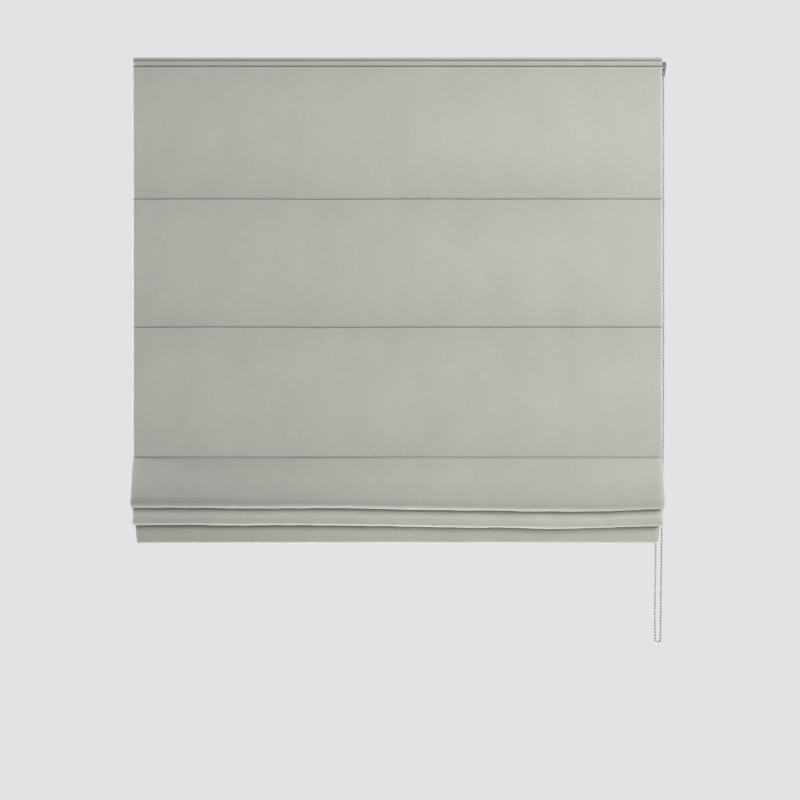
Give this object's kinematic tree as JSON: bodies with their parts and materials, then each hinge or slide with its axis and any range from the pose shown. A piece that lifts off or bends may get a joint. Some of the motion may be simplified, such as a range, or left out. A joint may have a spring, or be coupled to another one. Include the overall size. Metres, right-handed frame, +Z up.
{
  "type": "roman blind",
  "caption": "Lined Roman blind with a headrail, turning cord drive, bead chain control, rods in pockets and a weighted hem, hung partly raised.",
  "frame": {"origin": "centre of the plane in which the three brackets meet the ceiling of the window recess", "axes": "+X towards the chain side, along the rail; -Y to the room; +Z up"},
  "size_m": [1.0787, 0.0784, 1.188],
  "materials": {
    "face_cloth": "matt linen-look weave",
    "lining_cloth": "plain matt lining",
    "tape": "hook-and-loop pile",
    "rail_metal": "satin",
    "bracket_steel": "zinc plated",
    "white_plastic": "moulded",
    "grey_plastic": "moulded",
    "spring_steel": "bright wire",
    "shaft_metal": "drawn bar",
    "cord": "braided",
    "fibreglass": "pultruded rod",
    "clear_plastic": "natural nylon",
    "bar_metal": "mill",
    "chain_metal": "nickel plated"
  },
  "bodies": {
    "root": {"headrail": "rail_metal", "end_cap": "white_plastic", "control_housing": "grey_plastic", "control_cover": "grey_plastic", "cover_screws": "bracket_steel", "bracket_pivots": "bracket_steel", "loop_tape": "tape", "hook_tape": "tape", "face_fabric": "face_cloth", "lining": "lining_cloth", "bead_chain": "chain_metal", "chain_on_wheel": "chain_metal", "chain_connector": "chain_metal", "bracket_left": "bracket_steel", "bracket_centre": "bracket_steel", "bracket_right": "bracket_steel", "spool_cradle_left": "white_plastic", "spool_cradle_centre": "white_plastic", "spool_cradle_right": "white_plastic", "lift_cord_left": "cord", "lift_cord_centre": "cord", "lift_cord_right": "cord"},
    "drive": {"drive_shaft": "shaft_metal", "output_hub": "grey_plastic", "chain_wheel": "grey_plastic", "wrap_spring": "spring_steel", "spool_left": "grey_plastic", "spool_centre": "grey_plastic", "spool_right": "grey_plastic", "cord_turns_left": "cord", "cord_turns_centre": "cord", "cord_turns_right": "cord"},
    "rod_one": {"rod_1": "fibreglass", "rod_caps_1": "white_plastic", "cord_rings_1": "clear_plastic"},
    "rod_two": {"rod_2": "fibreglass", "rod_caps_2": "white_plastic", "cord_rings_2": "clear_plastic"},
    "lower_stack": {"rod_3": "fibreglass", "rod_caps_3": "white_plastic", "cord_rings_3": "clear_plastic", "rod_4": "fibreglass", "rod_caps_4": "white_plastic", "cord_rings_4": "clear_plastic", "rod_5": "fibreglass", "rod_caps_5": "white_plastic", "cord_rings_5": "clear_plastic", "weight_bar": "bar_metal", "weight_bar_caps": "white_plastic", "cord_lock_left": "clear_plastic", "cord_lock_centre": "clear_plastic", "cord_lock_right": "clear_plastic"},
    "cam_left": {"bracket_cam_left": "grey_plastic"},
    "cam_centre": {"bracket_cam_centre": "grey_plastic"},
    "cam_right": {"bracket_cam_right": "grey_plastic"}
  },
  "joints": [
    {"name": "lift", "type": "slide", "parent": "root", "child": "lower_stack", "axis": [0, 0, 1], "range_m": [0, 0.7], "deforming": ["face_fabric", "lining", "lift_cord_left", "lift_cord_centre", "lift_cord_right"]},
    {"name": "drive_turn", "type": "hinge", "parent": "root", "child": "drive", "pos_m": [0, 0, -0.0224], "axis": [-1, 0, 0], "range_deg": [0, 4222.8]},
    {"name": "rod_one_lift", "type": "slide", "parent": "root", "child": "rod_one", "axis": [0, 0, 1], "range_m": [0, 0.2369]},
    {"name": "rod_two_lift", "type": "slide", "parent": "root", "child": "rod_two", "axis": [0, 0, 1], "range_m": [0, 0.467]},
    {"name": "bracket_cam_left_turn", "type": "hinge", "parent": "root", "child": "cam_left", "pos_m": [-0.48, 0, -0.003], "axis": [0, 0, 1], "range_deg": [0, 90]},
    {"name": "bracket_cam_centre_turn", "type": "hinge", "parent": "root", "child": "cam_centre", "pos_m": [0, 0, -0.003], "axis": [0, 0, 1], "range_deg": [0, 90]},
    {"name": "bracket_cam_right_turn", "type": "hinge", "parent": "root", "child": "cam_right", "pos_m": [0.48, 0, -0.003], "axis": [0, 0, 1], "range_deg": [0, 90]}
  ],
  "couplings": [
    {"joint": "drive_turn", "follows": "lift", "rad_per_m": 105.26},
    {"joint": "rod_one_lift", "follows": "lift", "ratio": 0.33828},
    {"joint": "rod_two_lift", "follows": "lift", "ratio": 0.66705}
  ]
}
